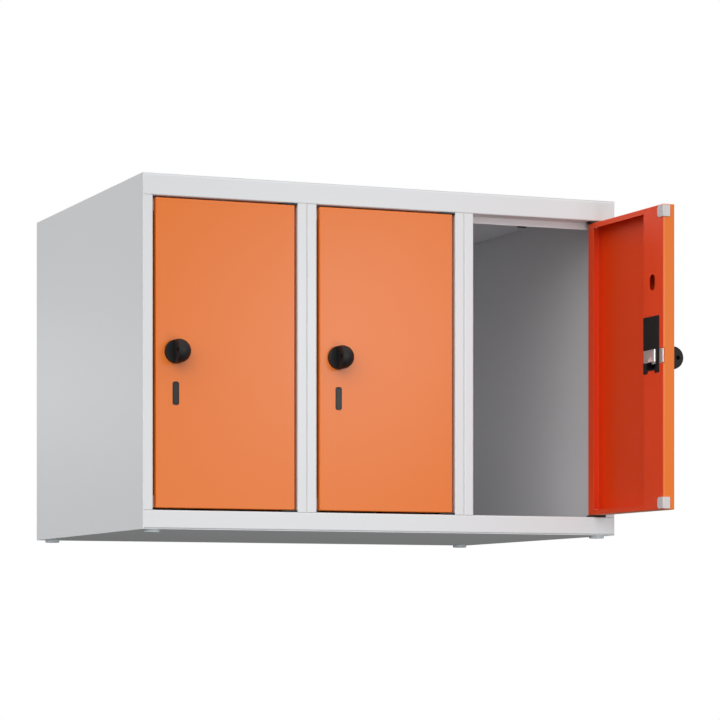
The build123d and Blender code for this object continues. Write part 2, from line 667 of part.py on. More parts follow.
def write_doors():
    """The pieces of each door at their place; the right-hand door stands open."""
    makers = {
        "skin": door_skin,
        "stiffener": stiffener,
        "buffers": buffers,
        "number_insert": number_insert,
        "lock_body": lock_body,
        "rosette": rosette,
        "knob": knob,
        "spindle": spindle,
        "bolt": bolt,
    }
    shapes = {piece: as_list(make()) for piece, make in makers.items()}
    for index, door in enumerate(COMPARTMENTS):
        place = Pos(free_edge(index), FRONT, DOOR_BOTTOM)
        pin_x, pin_y = pin_places()[index]
        angle = OPEN_ANGLE if door == "right" else 0.0
        for piece, solids in shapes.items():
            placed = [turned(place * solid, angle, pin_x, pin_y) for solid in solids]
            write(f"{door}_door_{piece}", placed)


def write_carcass():
    write("side_panel_left", side_panel_left())
    write("side_panel_right", side_panel_right())
    write("partition_left", partition(0))
    write("partition_right", partition(1))
    write("roof_panel", roof_panel())
    write("floor_panel", floor_panel())
    write("rear_panel", rear_panel())
    write("top_rail", top_rail())
    write("bottom_rail", bottom_rail())
    write("feet", feet())
    write("coat_hooks", coat_hooks())
    write("pivot_bushes_lower", pivot_bushes(SILL))
    write("pivot_bushes_upper", pivot_bushes(HEAD - DOOR_END_GAP + BUSH_CLEARANCE))
    write("pivot_pins_lower", pivot_pins(SILL - SHEET, 1))
    write("pivot_pins_upper", pivot_pins(HEAD + SHEET, -1))


os.makedirs("parts", exist_ok=True)
write_carcass()
write_doors()
print("bolt travel", round(BOLT_TRAVEL, 3), "per radian", round(BOLT_TRAVEL / radians(CRANK_SWING), 4))
corner = sqrt((PIN_FROM_EDGE - DOOR_BEND) ** 2 + (PIN_FROM_FRONT - DOOR_BEND) ** 2) + DOOR_BEND
print("door corner clears the reveal by", round(PIN_FROM_EDGE + DOOR_SIDE_GAP - corner, 2))
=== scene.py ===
"""Looks of a three-door sheet-steel locker unit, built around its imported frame.

Metres, +X right, +Y to the rear, +Z up, origin between the four feet.
"""
import json
from math import cos, pi, radians, sin

import bmesh
import bpy
from bpy.props import FloatProperty, FloatVectorProperty, PointerProperty
from mathutils import Matrix, Vector


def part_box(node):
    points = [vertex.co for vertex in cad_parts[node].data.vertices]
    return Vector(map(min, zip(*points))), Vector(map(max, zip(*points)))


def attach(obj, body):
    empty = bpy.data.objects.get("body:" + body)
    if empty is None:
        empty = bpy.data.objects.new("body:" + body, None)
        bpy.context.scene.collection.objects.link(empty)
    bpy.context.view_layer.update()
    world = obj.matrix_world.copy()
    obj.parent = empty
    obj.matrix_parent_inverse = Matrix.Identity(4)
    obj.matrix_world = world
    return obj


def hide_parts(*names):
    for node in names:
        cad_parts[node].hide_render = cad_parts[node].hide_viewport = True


bl_info = {
    "name": "Locker unit looks",
    "version": (1, 0, 0),
    "blender": (4, 5, 0),
    "location": "View3D > Sidebar > Locker",
    "description": "Finishes and moulded fittings of a three-door locker unit",
    "category": "Add Mesh",
}

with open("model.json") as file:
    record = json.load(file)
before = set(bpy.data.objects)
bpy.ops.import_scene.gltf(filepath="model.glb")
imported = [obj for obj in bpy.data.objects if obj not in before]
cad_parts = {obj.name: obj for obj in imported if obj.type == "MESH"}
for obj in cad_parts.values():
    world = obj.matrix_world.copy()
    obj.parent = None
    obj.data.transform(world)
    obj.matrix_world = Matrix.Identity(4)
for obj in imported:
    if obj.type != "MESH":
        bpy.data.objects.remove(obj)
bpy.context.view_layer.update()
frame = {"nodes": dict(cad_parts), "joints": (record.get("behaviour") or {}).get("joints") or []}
NODES = frame["nodes"]
JOINTS = {joint["name"]: joint for joint in frame["joints"]}
DOORS = ("left", "middle", "right")
MM = 0.001

# The photograph's camera: level, a little lower than the unit and left of it
PHOTO_SIZE = 720
SENSOR = 36.0
FOCAL_PX = 2686.6
AXIS_U, HORIZON_V = 165.0, 632.9
CAMERA_YAW = radians(20.103)
# From the body's lower front left corner
CAMERA_FROM_CORNER = Vector((-1.265, -3.5458, -0.1459))

# Tolerances for meshes
WELD = 0.002 * MM
WELD_BEFORE_ROUNDING = 0.005 * MM
NEAR = 0.001 * MM
ON_PLANE = 0.0001 * MM
SMOOTH_ANGLE = radians(32)    # edges sharper than this stay sharp
ROUND_ANGLE = radians(38)     # edges sharper than this are rounded

# Grip knob, heights measured out of the door's face
KNOB_DISC = 5.2 * MM          # top of the disc
GRIP_FACE = -5.0 * MM         # flat face of the half grip, from the knob's axis
EYE_RADIUS = 3.3 * MM
EYE_HEIGHT = 21.0 * MM
KNOB_STEPS = 96
DOME_STEPS = 18
EYE_STEPS = 48

# Bolt and lock case, in door axes: X from the free edge, depths from the back of the door
BOLT_RAISED = 3.0 * MM        # foot of the bolt's bar above the foot of its nose
NOSE_SETBACK = 1.6 * MM
NOSE_THICKNESS = 1.8 * MM
NOSE_CHAMFER = 0.8 * MM
BAR_THICKNESS = 3.6 * MM
BAR_CORNER = 2.0 * MM         # slanted lower corner on the hinge side
STEP_WIDTH = 15.0 * MM        # raised thumb step over the bridge of the case
STEP_RISE = 2.8 * MM
STEP_UNDERSIDE = 1.05 * MM
STEP_ROUND = 1.3 * MM
STEP_SEGMENTS = 4
THUMB_RIB_RISE = 2.8 * MM     # three-sided rib on the step for the thumb
THUMB_RIB_WIDTH = 12.0 * MM
WELL_DEPTH = 12.0 * MM        # moulded well of the case below the bolt
WELL_FOOT = 1.6 * MM
WELL_SIDE = 9.0 * MM          # solid side of the case beside the well
CASE_NOTCH = 4.15 * MM
CASE_BRIDGE = 8.85 * MM       # strip of the case that holds the bolt down
BRIDGE_GAP = 0.25 * MM
BOLT_TRAVEL = 9.9 * MM
CRANK_RADIUS = 7.0 * MM       # of the spindle's crank pin, which works in a slot of the bolt
CRANK_SLOT = 2.5 * MM         # half the slot's width
SLOT_ROUND = 0.98 * CRANK_SLOT
SLOT_SEGMENTS = 6
BOLT_WEB = 0.6 * MM           # left of the bolt under that slot
PIN_TRIM = 2.0 * MM           # off the end of each upper pivot pin

# Number tablet
TABLET_FLANGE = 1.2 * MM      # of the CAD insert, hidden behind the sheet
TABLET_CORNER = 3.2 * MM
TABLET_CORNER_SEGMENTS = 8
TABLET_RIM = 1.1 * MM
TABLET_SLOPE = 0.25 * MM      # of the rim's inner side
TABLET_RECESS = 0.45 * MM
TABLET_ROUND = 0.2 * MM


# Places, read from the frame

class DoorFrame:
    """Axes of one door: X from its free edge, Y inwards from its face, Z up from its foot."""

    def __init__(self, door):
        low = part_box("left_door_skin")[0]
        left_pin = Vector(JOINTS["left_door_swing"]["pos_m"])
        swing = JOINTS[f"{door}_door_swing"]
        self.pin = Vector(swing["pos_m"])
        self.pin.z = 0
        self.angle = -radians(swing["range_deg"][0])
        self.offset = Vector((low.x - left_pin.x, low.y - left_pin.y, low.z))
        turn = Matrix.Rotation(self.angle, 4, "Z")
        self.matrix = Matrix.Translation(self.pin) @ turn @ Matrix.Translation(self.offset)


DOOR_FRAMES = {door: DoorFrame(door) for door in DOORS}
SKIN_LOW, SKIN_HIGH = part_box("left_door_skin")
DOOR_SIZE = SKIN_HIGH - SKIN_LOW
KNOB_PLACE = Vector(JOINTS["left_knob_turn"]["pos_m"]) - SKIN_LOW
KNOB_PLACE.y = 0


def node_box(node):
    """A left-door node's box in that door's own axes."""
    low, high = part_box(f"left_door_{node}")
    return low - SKIN_LOW, high - SKIN_LOW


# Shaders

class Value:
    """A shader socket; arithmetic on it adds Math nodes."""

    def __init__(self, shader, socket):
        self.shader, self.socket = shader, socket

    def _math(self, operation, *terms):
        return self.shader.node("ShaderNodeMath", {"operation": operation}, dict(enumerate(terms)))

    def __add__(self, other):
        return self._math("ADD", self, other)

    __radd__ = __add__

    def __mul__(self, other):
        return self._math("MULTIPLY", self, other)

    __rmul__ = __mul__

    def above(self, other):
        return self._math("GREATER_THAN", self, other)

    def below(self, other):
        return self._math("LESS_THAN", self, other)

    def at_least(self, other):
        return self._math("MAXIMUM", self, other)

    def to_the(self, power):
        return self._math("POWER", self, power)


class Shader:
    """A node tree under construction."""

    def __init__(self, tree):
        self.tree = tree
        tree.nodes.clear()

    def node(self, kind, settings=None, inputs=None, output=0):
        """Adds a node: its settings first, then the values or links of its sockets."""
        made = self.tree.nodes.new(kind)
        for key, value in (settings or {}).items():
            setattr(made, key, value)
        for key, value in (inputs or {}).items():
            if isinstance(value, Value):
                self.tree.links.new(value.socket, made.inputs[key])
            else:
                made.inputs[key].default_value = value
        return Value(self, made.outputs[output]) if made.outputs else made

    def place(self):
        """Object coordinates."""
        return self.node("ShaderNodeTexCoord", output=3)

    def vector(self, operation, first, second):
        """Vector maths on two vectors."""
        return self.node("ShaderNodeVectorMath", {"operation": operation}, {0: first, 1: second})

    def facing(self, first, second):
        """Dot product of two vectors."""
        inputs = {0: first, 1: second}
        return self.node("ShaderNodeVectorMath", {"operation": "DOT_PRODUCT"}, inputs, output=1)

    def axes(self, vector):
        """The three numbers of a vector."""
        split = self.node("ShaderNodeSeparateXYZ", {}, {0: vector}).socket.node
        return [Value(self, socket) for socket in split.outputs]

    def door_place(self, door_frame):
        """Object coordinates in a door's own axes."""
        moved = self.vector("SUBTRACT", self.place(), door_frame.pin)
        turned = self.node(
            "ShaderNodeVectorRotate",
            {"rotation_type": "Z_AXIS"},
            {"Vector": moved, "Angle": -door_frame.angle},
        )
        return self.vector("SUBTRACT", turned, door_frame.offset)

    def noise(self, vector, scale, detail=2.0, roughness=0.5):
        inputs = {"Vector": vector, "Scale": scale, "Detail": detail, "Roughness": roughness}
        return self.node("ShaderNodeTexNoise", {}, inputs)

    def blend(self, factor, first, second, mode="MIX"):
        settings = {"data_type": "RGBA", "blend_type": mode}
        return self.node("ShaderNodeMix", settings, {0: factor, 6: first, 7: second}, output=2)

    def shaded(self, colour, gain):
        """A colour times a number that changes over the surface."""
        grey = self.node("ShaderNodeCombineColor", {}, {0: gain, 1: gain, 2: gain})
        return self.blend(1.0, colour, grey, "MULTIPLY")

    def bump(self, height, strength, distance):
        inputs = {"Strength": strength, "Distance": distance, "Height": height}
        return self.node("ShaderNodeBump", {}, inputs)

    def surface(self, **inputs):
        """Closes a material with one Principled shader."""
        named = {key.replace("_", " "): value for key, value in inputs.items()}
        closure = self.node("ShaderNodeBsdfPrincipled", {}, named)
        self.node("ShaderNodeOutputMaterial", {}, {"Surface": closure})


def new_material(name):
    material = bpy.data.materials.new(name)
    material.use_nodes = True
    return material, Shader(material.node_tree)


def rgba(colour):
    return (*colour[:3], 1.0)


# Finishes

# Scales of the patterns, in waves per metre
CLOUD_SCALE = 4.0
PEEL_SCALE = 420.0
SPECK_SCALE = 1500.0
GRAIN_SCALE = 2600.0
FLOW_SCALE = 60.0
DRAWN_SCALE = 900.0
TINT_SCALE = 90.0
# Heights of the patterns
PEEL_HEIGHT = 0.2 * MM
GRAIN_HEIGHT = 0.1 * MM
DRAWN_HEIGHT = 0.05 * MM
SKIN_DEPTH = 0.5 * MM         # face paint reaches this far into a door
# Plated metals
ZINC = (0.62, 0.63, 0.64)
BRIGHT = (0.97, 0.95, 0.95)
DRAWN_UPRIGHT = (1.0, 1.0, 0.15)    # stretches the drawing marks upright


def coat(shader, place, colour, finish):
    """Satin powder coat: fine orange peel, faint clouds and specks."""
    clouds = shader.noise(place, CLOUD_SCALE, 3.0)
    specks = shader.noise(place, SPECK_SCALE)
    peel = shader.noise(place, PEEL_SCALE, 3.0, 0.55)
    base = shader.shaded(colour, clouds * 0.03 + specks * 0.02 + 0.975)
    gloss = clouds * 0.06 + specks * 0.04 + (finish.roughness - 0.05)
    normal = shader.bump(peel, finish.peel, PEEL_HEIGHT)
    shader.surface(Base_Color=base, Roughness=gloss, Normal=normal)


def body_paint(finish):
    """Pale grey coat of the carcass."""
    material, shader = new_material("pale_grey_powder_coat")
    coat(shader, shader.place(), rgba(finish.body), finish)
    return material


def door_paint(finish, door):
    """Orange coat: full on the face and edges; inside the tray a deeper red colour paints the shade
    and orange bounce light there.
    """
    material, shader = new_material(f"orange_powder_coat_{door}")
    place = shader.door_place(DOOR_FRAMES[door])
    x, y, z = shader.axes(place)
    # Painted shade: the tray's inner surfaces get the deeper red inside colour in place of their shade
    # and orange bounce light
    inside = y.above(SKIN_DEPTH) * x.above(SKIN_DEPTH) * x.below(DOOR_SIZE.x - SKIN_DEPTH)
    inside = inside * z.above(SKIN_DEPTH) * z.below(DOOR_SIZE.z - SKIN_DEPTH)
    colour = shader.blend(inside, rgba(finish.door), rgba(finish.door_inside_painted_shade))
    coat(shader, place, colour, finish)
    return material


def moulded_plastic(name, colour, roughness, grain=0.15, specular=0.5):
    """Moulded plastic with fine spark-eroded grain and faint flow clouds."""
    material, shader = new_material(name)
    place = shader.place()
    grit = shader.noise(place, GRAIN_SCALE, 3.0, 0.6)
    flow = shader.noise(place, FLOW_SCALE)
    base = shader.shaded(rgba(colour), grit * 0.2 + flow * 0.15 + 0.83)
    gloss = grit * 0.12 + flow * 0.06 + (roughness - 0.09)
    shader.surface(
        Base_Color=base,
        Roughness=gloss,
        Specular_IOR_Level=specular,
        Normal=shader.bump(grit, grain, GRAIN_HEIGHT),
    )
    return material


def plated_metal(name, colour, roughness, grain, brush=(1.0, 1.0, 1.0)):
    """Plated steel with fine drawing marks and a faint passivation tint."""
    material, shader = new_material(name)
    place = shader.place()
    drawn = shader.noise(shader.vector("MULTIPLY", place, brush), DRAWN_SCALE, 3.0, 0.6)
    tint = shader.noise(place, TINT_SCALE)
    base = shader.shaded(rgba(colour), tint * 0.12 + drawn * 0.06 + 0.9)
    gloss = drawn * 0.1 + tint * 0.05 + (roughness - 0.07)
    shader.surface(
        Base_Color=base,
        Metallic=1.0,
        Roughness=gloss,
        Normal=shader.bump(drawn, grain, DRAWN_HEIGHT),
    )
    return material


# Meshes

def finished_object(name, bm, material, body, replaces):
    """A piece of a finished bmesh, riding on its body in place of a CAD node."""
    bmesh.ops.remove_doubles(bm, verts=bm.verts, dist=WELD)
    bmesh.ops.recalc_face_normals(bm, faces=bm.faces)
    for face in bm.faces:
        face.smooth = True
    for edge in bm.edges:
        if len(edge.link_faces) == 2 and edge.calc_face_angle(0) > SMOOTH_ANGLE:
            edge.smooth = False
    mesh = bpy.data.meshes.new(name)
    bm.to_mesh(mesh)
    bm.free()
    mesh.materials.append(material)
    piece = bpy.data.objects.new(name, mesh)
    bpy.context.scene.collection.objects.link(piece)
    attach(piece, body)
    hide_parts(replaces)
    return piece


def paint(node, material):
    """Gives a CAD node its material."""
    piece = NODES[node]
    if not piece.material_slots:
        piece.data.materials.append(material)
    for slot in piece.material_slots:
        slot.material = material
    return piece


def soften(piece, width):
    """Rounds a moulded or stamped piece's edges."""
    weld = piece.modifiers.new("weld", "WELD")
    weld.merge_threshold = WELD_BEFORE_ROUNDING
    bevel = piece.modifiers.new("rounding", "BEVEL")
    bevel.width = width
    bevel.segments = 3
    bevel.profile = 0.5
    bevel.limit_method = "ANGLE"
    bevel.angle_limit = ROUND_ANGLE
    bevel.harden_normals = True


def bare_mesh(bm):
    """Turns a bmesh into a mesh of its own."""
    mesh = bpy.data.meshes.new("working")
    bm.to_mesh(mesh)
    bm.free()
    return mesh


def copy_of(node):
    """A CAD node's mesh as a closed bmesh of its own."""
    bm = bmesh.new()
    bm.from_mesh(NODES[node].data)
    bmesh.ops.remove_doubles(bm, verts=bm.verts, dist=WELD)
    return bm


def joined(bm, other, operation="DIFFERENCE"):
    """One closed bmesh less another, or with it."""
    scene = bpy.context.scene
    solid = bpy.data.objects.new("solid", bare_mesh(bm))
    tool = bpy.data.objects.new("tool", bare_mesh(other))
    for item in (solid, tool):
        scene.collection.objects.link(item)
    boolean = solid.modifiers.new("boolean", "BOOLEAN")
    boolean.operation = operation
    boolean.solver = "EXACT"
    boolean.object = tool
    cut = solid.evaluated_get(bpy.context.evaluated_depsgraph_get())
    result = bmesh.new()
    result.from_mesh(cut.to_mesh())
    cut.to_mesh_clear()
    for item in (solid, tool):
        mesh = item.data
        bpy.data.objects.remove(item)
        bpy.data.meshes.remove(mesh)
    return result


def block_mesh(low, high):
    """A box between two corners."""
    bm = bmesh.new()
    low, high = Vector(low), Vector(high)
    place = Matrix.LocRotScale((low + high) / 2, None, high - low)
    bmesh.ops.create_cube(bm, size=1.0, matrix=place)
    return bm


def ease(bm, edges, width, segments=1):
    """Chamfers edges, or rounds them with more segments."""
    bmesh.ops.bevel(
        bm, geom=edges, offset=width, offset_type="OFFSET", affect="EDGES",
        segments=segments, profile=0.5, material=-1,
    )


def runs_through(edge):
    """Whether an edge runs through the thickness of the door."""
    start, end = (vert.co for vert in edge.verts)
    return abs((start - end).normalized().y) > 0.99


def half_grip(bm):
    """Cuts off the dome's side nearest the free edge, down to the disc, and closes the step."""
    def above_disc():
        return [f for f in bm.faces if f.calc_center_median().y < -KNOB_DISC]

    geom = list({item for face in above_disc() for item in (face, *face.edges, *face.verts)})
    bmesh.ops.bisect_plane(
        bm, geom=geom, dist=ON_PLANE, plane_co=(GRIP_FACE, 0, 0), plane_no=(1, 0, 0),
    )
    away = [f for f in above_disc() if f.calc_center_median().x < GRIP_FACE]
    bmesh.ops.delete(bm, geom=away, context="FACES")
    rim = [edge for edge in bm.edges if len(edge.link_faces) == 1]
    on_disc = [edge for edge in rim if all(abs(v.co.y + KNOB_DISC) < NEAR for v in edge.verts)]
    on_wall = [edge for edge in rim if edge not in on_disc]
    chord = bm.edges.new({v for e in on_disc for v in e.verts} & {v for e in on_wall for v in e.verts})
    for loop in (on_disc, on_wall):
        bmesh.ops.contextual_create(bm, geom=loop + [chord])


def knob_mesh():
    """Disc with half a domed grip, and a padlock eye right through the grip."""
    low, high = node_box("knob")
    radius, top, foot = (high.x - low.x) / 2, -low.y, -high.y
    shoulder = top - radius
    turns = [pi / 2 * i / DOME_STEPS for i in range(1, DOME_STEPS + 1)]
    dome = [(radius * cos(t), shoulder + radius * sin(t)) for t in turns]
    outline = [(0.0, foot), (radius, foot), (radius, KNOB_DISC), (radius, shoulder), *dome]
    bm = bmesh.new()
    verts = [bm.verts.new((r, -h, 0)) for r, h in outline]
    edges = [bm.edges.new(pair) for pair in zip(verts, verts[1:])]
    bmesh.ops.spin(
        bm, geom=verts + edges, cent=(0, 0, 0), axis=(0, 1, 0), dvec=(0, 0, 0),
        angle=2 * pi, steps=KNOB_STEPS, use_merge=True, use_normal_flip=False, use_duplicate=False,
    )
    bmesh.ops.remove_doubles(bm, verts=bm.verts, dist=NEAR)
    half_grip(bm)
    bmesh.ops.recalc_face_normals(bm, faces=bm.faces)
    drill = bmesh.new()
    bmesh.ops.create_cone(
        drill, cap_ends=True, segments=EYE_STEPS,
        radius1=EYE_RADIUS, radius2=EYE_RADIUS, depth=4 * radius,
        matrix=Matrix.Translation((0, -EYE_HEIGHT, 0)) @ Matrix.Rotation(pi / 2, 4, "Y"),
    )
    return joined(bm, drill)


def bolt_bar(foot, high, step_left, step_right, bar_left):
    """The bolt's bar in its channel, and the thumb step that passes over the case's bridge."""
    back = DOOR_SIZE.y
    outline = (
        (bar_left, back - BAR_THICKNESS),
        (high.x, back - BAR_THICKNESS),
        (high.x, back),
        (step_right, back),
        (step_right, back + STEP_RISE),
        (step_left, back + STEP_RISE),
        (step_left, back + STEP_UNDERSIDE),
        (bar_left, back + STEP_UNDERSIDE),
    )
    bm = bmesh.new()
    face = bm.faces.new([bm.verts.new((x, y, foot)) for x, y in outline])
    made = bmesh.ops.extrude_face_region(bm, geom=[face])["geom"]
    top = [item for item in made if isinstance(item, bmesh.types.BMVert)]
    bmesh.ops.translate(bm, verts=top, vec=(0, 0, high.z - foot))
    bmesh.ops.recalc_face_normals(bm, faces=bm.faces)

    def at_corner(vert):
        return vert.co.x > high.x - NEAR and vert.co.z < foot + NEAR

    corner = [edge for edge in bm.edges if runs_through(edge) and all(map(at_corner, edge.verts))]
    ease(bm, corner, BAR_CORNER)
    raised = [edge for edge in bm.edges if all(v.co.y > back + STEP_RISE - NEAR for v in edge.verts)]
    ease(bm, raised, STEP_ROUND, STEP_SEGMENTS)
    return bm


def thumb_rib(foot, high, step_right):
    """Three-sided rib that the thumb pushes, standing on the step's lower edge."""
    top, rib_foot = DOOR_SIZE.y + STEP_RISE, foot + STEP_ROUND / 2
    bm = bmesh.new()
    for place in (
        (step_right - THUMB_RIB_WIDTH, top - STEP_ROUND, rib_foot),
        (step_right - STEP_ROUND / 2, top - STEP_ROUND, rib_foot),
        (step_right - STEP_ROUND, top + THUMB_RIB_RISE, rib_foot),
        (step_right - THUMB_RIB_WIDTH / 3, top - STEP_ROUND / 2, (foot + high.z) / 2),
    ):
        bm.verts.new(place)
    bmesh.ops.convex_hull(bm, input=bm.verts)
    return bm


def crank_slot():
    """Cutter of the upright slot in the bolt's front, in which the crank pin works."""
    back = DOOR_SIZE.y
    reach = CRANK_RADIUS * cos(pi / 4)
    pin_x = KNOB_PLACE.x + reach
    bm = block_mesh(
        (pin_x - CRANK_SLOT, back - 2 * BAR_THICKNESS, KNOB_PLACE.z + reach - CRANK_SLOT),
        (pin_x + CRANK_SLOT, back - BOLT_WEB, KNOB_PLACE.z + CRANK_RADIUS + CRANK_SLOT),
    )
    ease(bm, [edge for edge in bm.edges if runs_through(edge)], SLOT_ROUND, SLOT_SEGMENTS)
    return bm


def bolt_mesh():
    """Pressed bolt: thin nose, bar in its channel, thumb step with its rib, slot for the crank."""
    low, high = node_box("bolt")
    foot = low.z + BOLT_RAISED
    step_left = node_box("lock_body")[0].x + CASE_BRIDGE + BRIDGE_GAP
    step_right = step_left + STEP_WIDTH
    bar_left = step_left + BOLT_TRAVEL
    nose = block_mesh(
        (NOSE_SETBACK, DOOR_SIZE.y - NOSE_THICKNESS, low.z), (bar_left + MM, DOOR_SIZE.y, high.z),
    )
    tip = [
        edge for edge in nose.edges
        if runs_through(edge) and all(v.co.x < bar_left for v in edge.verts)
    ]
    ease(nose, tip, NOSE_CHAMFER)
    bm = joined(bolt_bar(foot, high, step_left, step_right, bar_left), nose, "UNION")
    bm = joined(bm, thumb_rib(foot, high, step_right), "UNION")
    return joined(bm, crank_slot())


def case_mesh():
    """Lock case of the CAD node with the moulded well below the bolt."""
    low, high = node_box("lock_body")
    bolt_foot = node_box("bolt")[0].z
    bm = copy_of("left_door_lock_body")
    bmesh.ops.translate(bm, verts=bm.verts, vec=-SKIN_LOW)
    channel_left = low.x + CASE_BRIDGE
    ledge = block_mesh(
        (channel_left - MM, DOOR_SIZE.y - BAR_THICKNESS, bolt_foot - MM),
        (high.x, high.y - BRIDGE_GAP, bolt_foot + BOLT_RAISED - BRIDGE_GAP),
    )
    well = block_mesh(
        (channel_left, high.y - WELL_DEPTH, low.z + CASE_NOTCH + WELL_FOOT),
        (high.x - WELL_SIDE, high.y + MM, bolt_foot + BOLT_RAISED + MM),
    )
    return joined(joined(bm, ledge, "UNION"), well)


def upper_pins_mesh():
    """The upper pivot pins with their lower ends trimmed."""
    bm = copy_of("pivot_pins_upper")
    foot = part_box("pivot_pins_upper")[0].z + PIN_TRIM
    geom = [*bm.verts, *bm.edges, *bm.faces]
    bmesh.ops.bisect_plane(
        bm, geom=geom, dist=ON_PLANE, plane_co=(0, 0, foot), plane_no=(0, 0, 1), clear_inner=True,
    )
    rim = [edge for edge in bm.edges if len(edge.link_faces) == 1]
    bmesh.ops.holes_fill(bm, edges=rim, sides=0)
    return bm


def tablet_mesh():
    """Rounded tablet with a raised rim round a recessed field."""
    low, high = node_box("number_insert")
    middle = (low + high) / 2
    half_x = (high.x - low.x) / 2 - TABLET_FLANGE
    half_z = (high.z - low.z) / 2 - TABLET_FLANGE
    bm = bmesh.new()
    corners = [(-half_x, -half_z), (half_x, -half_z), (half_x, half_z), (-half_x, half_z)]
    face = bm.faces.new([bm.verts.new((middle.x + x, high.y, middle.z + z)) for x, z in corners])
    bmesh.ops.bevel(
        bm, geom=list(face.verts), offset=TABLET_CORNER, offset_type="OFFSET",
        affect="VERTICES", segments=TABLET_CORNER_SEGMENTS, profile=0.5, material=-1,
    )
    front = bmesh.ops.extrude_face_region(bm, geom=list(bm.faces))["geom"]
    raised = [item for item in front if isinstance(item, bmesh.types.BMVert)]
    bmesh.ops.translate(bm, verts=raised, vec=(0, low.y - high.y, 0))
    cap = next(item for item in front if isinstance(item, bmesh.types.BMFace))
    bmesh.ops.inset_region(bm, faces=[cap], thickness=TABLET_RIM, depth=0)
    bmesh.ops.inset_region(bm, faces=[cap], thickness=TABLET_SLOPE, depth=0)
    bmesh.ops.translate(bm, verts=list(cap.verts), vec=(0, TABLET_RECESS, 0))
    return bm


# Sizes and colours that a user would change

class LockerFinish(bpy.types.PropertyGroup):
    """Coat and plastic colours."""
    body: FloatVectorProperty(
        name="Body", description="Powder coat of the carcass", subtype="COLOR",
        size=3, min=0.0, max=1.0, default=(0.735, 0.745, 0.76),
    )
    door: FloatVectorProperty(
        name="Door face", description="Powder coat of the doors' faces and edges", subtype="COLOR",
        size=3, min=0.0, max=1.0, default=(0.80, 0.174, 0.008),
    )
    # Painted shade: a deeper red than the face, standing in for the shade and orange bounce light
    # inside the door trays, not a separate coat
    door_inside_painted_shade: FloatVectorProperty(
        name="Door inside", description="Powder coat inside the doors", subtype="COLOR",
        size=3, min=0.0, max=1.0, default=(0.85, 0.058, 0.003),
    )
    black: FloatVectorProperty(
        name="Black plastic", description="Knobs, hooks, bushes and lock cases", subtype="COLOR",
        size=3, min=0.0, max=1.0, default=(0.011, 0.011, 0.012),
    )
    pale: FloatVectorProperty(
        name="Pale plastic", description="Corner buffers", subtype="COLOR",
        size=3, min=0.0, max=1.0, default=(0.62, 0.59, 0.59),
    )
    glide: FloatVectorProperty(
        name="Glides", description="Feet", subtype="COLOR",
        size=3, min=0.0, max=1.0, default=(0.76, 0.83, 0.86),
    )
    roughness: FloatProperty(
        name="Coat roughness", description="Satin of the powder coat",
        subtype="FACTOR", min=0.1, max=1.0, default=0.42,
    )
    peel: FloatProperty(
        name="Orange peel", description="Strength of the coat's fine waves",
        subtype="FACTOR", min=0.0, max=1.0, default=0.12,
    )


class LockerFittings(bpy.types.PropertyGroup):
    """Sizes of the small rounded edges."""
    knob_round: FloatProperty(
        name="Knob edge", description="Rounding of the knob's edges",
        unit="LENGTH", min=0.0, default=0.45 * MM,
    )
    plastic_round: FloatProperty(
        name="Plastic edge", description="Rounding of hooks, bushes and lock cases",
        unit="LENGTH", min=0.0, default=0.35 * MM,
    )
    metal_round: FloatProperty(
        name="Metal edge", description="Rounding of bolts and pins",
        unit="LENGTH", min=0.0, default=0.2 * MM,
    )


class LockerStage(bpy.types.PropertyGroup):
    """Light and floor."""
    floor_drop: FloatProperty(
        name="Floor drop", description="Height of the locker that the unit stands on",
        unit="LENGTH", min=0.2, default=1.75,
    )
    soft: FloatProperty(
        name="Soft light", description="Gain of the broad lights from afar", min=0.0, default=1.0,
    )
    lamps: FloatProperty(
        name="Lamps", description="Gain of the lamps close by", min=0.0, default=1.0,
    )


# Operators, one for each group of pieces

class LOCKER_OT_coat_carcass(bpy.types.Operator):
    """Coats the panels, partitions and rails"""
    bl_idname = "locker.coat_carcass"
    bl_label = "Coat the carcass"

    def execute(self, context):
        material = body_paint(context.scene.locker_finish)
        panels = ("side_panel_left", "side_panel_right", "partition_left", "partition_right",
                  "roof_panel", "floor_panel", "rear_panel", "top_rail", "bottom_rail")
        for node in panels:
            paint(node, material)
        return {"FINISHED"}


class LOCKER_OT_coat_doors(bpy.types.Operator):
    """Coats the door skins and stiffeners"""
    bl_idname = "locker.coat_doors"
    bl_label = "Coat the doors"

    def execute(self, context):
        for door in DOORS:
            material = door_paint(context.scene.locker_finish, door)
            for part in ("skin", "stiffener"):
                paint(f"{door}_door_{part}", material)
        return {"FINISHED"}


class LOCKER_OT_fit_plastics(bpy.types.Operator):
    """Finishes hooks, bushes, rosettes, buffers and feet"""
    bl_idname = "locker.fit_plastics"
    bl_label = "Fit the moulded plastics"

    def execute(self, context):
        finish = context.scene.locker_finish
        rounding = context.scene.locker_fittings.plastic_round
        black = moulded_plastic("black_moulding", finish.black, 0.45, specular=0.35)
        pale = moulded_plastic("pale_soft_moulding", finish.pale, 0.5, 0.08)
        glide = moulded_plastic("pale_glide_moulding", finish.glide, 0.6, 0.1)
        for node in ("coat_hooks", "pivot_bushes_lower", "pivot_bushes_upper"):
            soften(paint(node, black), rounding)
        soften(paint("feet", glide), rounding)
        for door in DOORS:
            soften(paint(f"{door}_door_rosette", black), rounding)
            soften(paint(f"{door}_door_buffers", pale), rounding)
        return {"FINISHED"}


class LOCKER_OT_fit_metal(bpy.types.Operator):
    """Finishes spindles and pivot pins"""
    bl_idname = "locker.fit_metal"
    bl_label = "Fit the plated metal"

    def execute(self, context):
        rounding = context.scene.locker_fittings.metal_round
        zinc = plated_metal("zinc_plate", ZINC, 0.38, 0.2)
        soften(paint("pivot_pins_lower", zinc), rounding)
        piece = finished_object(
            "upper_pivot_pins", upper_pins_mesh(), zinc, "carcass", "pivot_pins_upper",
        )
        soften(piece, rounding)
        for door in DOORS:
            paint(f"{door}_door_spindle", zinc)
        return {"FINISHED"}


